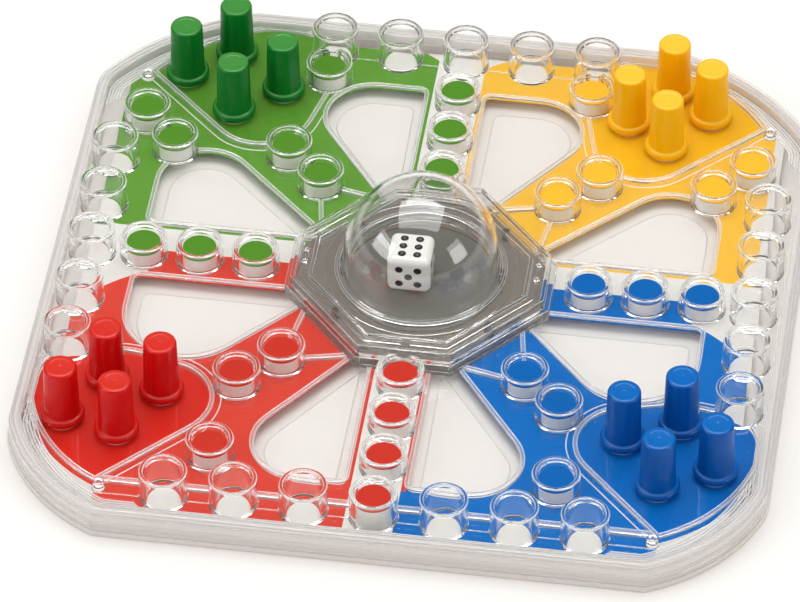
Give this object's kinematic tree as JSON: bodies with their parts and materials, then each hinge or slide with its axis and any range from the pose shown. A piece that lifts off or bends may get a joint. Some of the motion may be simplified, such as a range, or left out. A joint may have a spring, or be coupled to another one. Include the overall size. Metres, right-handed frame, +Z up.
{
  "type": "pop up dice board game",
  "caption": "Square clear-lidded board game with ring sockets, coloured pegs in four corner homes and a press-down dome over a die in the middle.",
  "frame": {"origin": "centre of the underside, on the surface the game stands on", "axes": "+X to the players' right, +Y to the back, +Z up through the dice dome"},
  "size_m": [0.274, 0.272, 0.0537],
  "materials": {
    "clear_plastic": "clear polished styrene",
    "tray_plastic": "pale translucent styrene, smooth",
    "card_green": "printed card under the clear deck",
    "card_yellow": "printed card under the clear deck",
    "card_red": "printed card under the clear deck",
    "card_blue": "printed card under the clear deck",
    "card_white": "bare card under the clear deck",
    "peg_green": "satin moulded styrene",
    "peg_yellow": "satin moulded styrene",
    "peg_red": "satin moulded styrene",
    "peg_blue": "satin moulded styrene",
    "grey_plastic": "satin grey moulding",
    "grey_sheet": "smooth thin sheet",
    "spring_steel": "rolled spring steel",
    "fastener_steel": "zinc plated",
    "die_plastic": "white with black pips, rounded edges"
  },
  "bodies": {
    "case": {"base_tray": "tray_plastic", "top_deck": "clear_plastic", "window_beads": "clear_plastic", "home_beads": "clear_plastic", "deck_ribs": "clear_plastic", "sockets_front_row": "clear_plastic", "sockets_back_row": "clear_plastic", "sockets_left_column": "clear_plastic", "sockets_right_column": "clear_plastic", "sockets_lane_front": "clear_plastic", "sockets_lane_back": "clear_plastic", "sockets_lane_left": "clear_plastic", "sockets_lane_right": "clear_plastic", "sockets_entry_green": "clear_plastic", "sockets_diagonal_green": "clear_plastic", "sockets_entry_yellow": "clear_plastic", "sockets_diagonal_yellow": "clear_plastic", "sockets_entry_red": "clear_plastic", "sockets_diagonal_red": "clear_plastic", "sockets_entry_blue": "clear_plastic", "sockets_diagonal_blue": "clear_plastic", "popper_frame": "clear_plastic", "dome_ring": "clear_plastic", "card_green": "card_green", "card_yellow": "card_yellow", "card_red": "card_red", "card_blue": "card_blue", "lane_strips": "card_white", "lane_discs_green": "card_green", "lane_discs_yellow": "card_yellow", "lane_discs_red": "card_red", "lane_discs_blue": "card_blue", "popper_plate": "grey_plastic", "strike_sheet": "grey_sheet", "bow_spring": "spring_steel", "spring_rivet": "fastener_steel", "frame_screws": "fastener_steel"},
    "dome": {"dome": "clear_plastic"},
    "die": {"die": "die_plastic"},
    "peg_green_1": {"peg_green_1": "peg_green"},
    "peg_green_2": {"peg_green_2": "peg_green"},
    "peg_green_3": {"peg_green_3": "peg_green"},
    "peg_green_4": {"peg_green_4": "peg_green"},
    "peg_yellow_1": {"peg_yellow_1": "peg_yellow"},
    "peg_yellow_2": {"peg_yellow_2": "peg_yellow"},
    "peg_yellow_3": {"peg_yellow_3": "peg_yellow"},
    "peg_yellow_4": {"peg_yellow_4": "peg_yellow"},
    "peg_red_1": {"peg_red_1": "peg_red"},
    "peg_red_2": {"peg_red_2": "peg_red"},
    "peg_red_3": {"peg_red_3": "peg_red"},
    "peg_red_4": {"peg_red_4": "peg_red"},
    "peg_blue_1": {"peg_blue_1": "peg_blue"},
    "peg_blue_2": {"peg_blue_2": "peg_blue"},
    "peg_blue_3": {"peg_blue_3": "peg_blue"},
    "peg_blue_4": {"peg_blue_4": "peg_blue"}
  },
  "joints": [
    {"name": "lift_peg_green_1", "type": "slide", "parent": "case", "child": "peg_green_1", "axis": [0, 0, 1], "range_m": [0, 0.014]},
    {"name": "lift_peg_green_2", "type": "slide", "parent": "case", "child": "peg_green_2", "axis": [0, 0, 1], "range_m": [0, 0.014]},
    {"name": "lift_peg_green_3", "type": "slide", "parent": "case", "child": "peg_green_3", "axis": [0, 0, 1], "range_m": [0, 0.014]},
    {"name": "lift_peg_green_4", "type": "slide", "parent": "case", "child": "peg_green_4", "axis": [0, 0, 1], "range_m": [0, 0.014]},
    {"name": "lift_peg_yellow_1", "type": "slide", "parent": "case", "child": "peg_yellow_1", "axis": [0, 0, 1], "range_m": [0, 0.014]},
    {"name": "lift_peg_yellow_2", "type": "slide", "parent": "case", "child": "peg_yellow_2", "axis": [0, 0, 1], "range_m": [0, 0.014]},
    {"name": "lift_peg_yellow_3", "type": "slide", "parent": "case", "child": "peg_yellow_3", "axis": [0, 0, 1], "range_m": [0, 0.014]},
    {"name": "lift_peg_yellow_4", "type": "slide", "parent": "case", "child": "peg_yellow_4", "axis": [0, 0, 1], "range_m": [0, 0.014]},
    {"name": "lift_peg_red_1", "type": "slide", "parent": "case", "child": "peg_red_1", "axis": [0, 0, 1], "range_m": [0, 0.014]},
    {"name": "lift_peg_red_2", "type": "slide", "parent": "case", "child": "peg_red_2", "axis": [0, 0, 1], "range_m": [0, 0.014]},
    {"name": "lift_peg_red_3", "type": "slide", "parent": "case", "child": "peg_red_3", "axis": [0, 0, 1], "range_m": [0, 0.014]},
    {"name": "lift_peg_red_4", "type": "slide", "parent": "case", "child": "peg_red_4", "axis": [0, 0, 1], "range_m": [0, 0.014]},
    {"name": "lift_peg_blue_1", "type": "slide", "parent": "case", "child": "peg_blue_1", "axis": [0, 0, 1], "range_m": [0, 0.014]},
    {"name": "lift_peg_blue_2", "type": "slide", "parent": "case", "child": "peg_blue_2", "axis": [0, 0, 1], "range_m": [0, 0.014]},
    {"name": "lift_peg_blue_3", "type": "slide", "parent": "case", "child": "peg_blue_3", "axis": [0, 0, 1], "range_m": [0, 0.014]},
    {"name": "lift_peg_blue_4", "type": "slide", "parent": "case", "child": "peg_blue_4", "axis": [0, 0, 1], "range_m": [0, 0.014]},
    {"name": "dome_press", "type": "slide", "parent": "case", "child": "dome", "axis": [0, 0, -1], "range_m": [0, 0.0035], "stiffness_N_per_m": 3000, "springref_m": -0.0005, "deforming": ["bow_spring"]},
    {"name": "die_hop", "type": "slide", "parent": "case", "child": "die", "axis": [0, 0, 1], "range_m": [0, 0.015]}
  ]
}
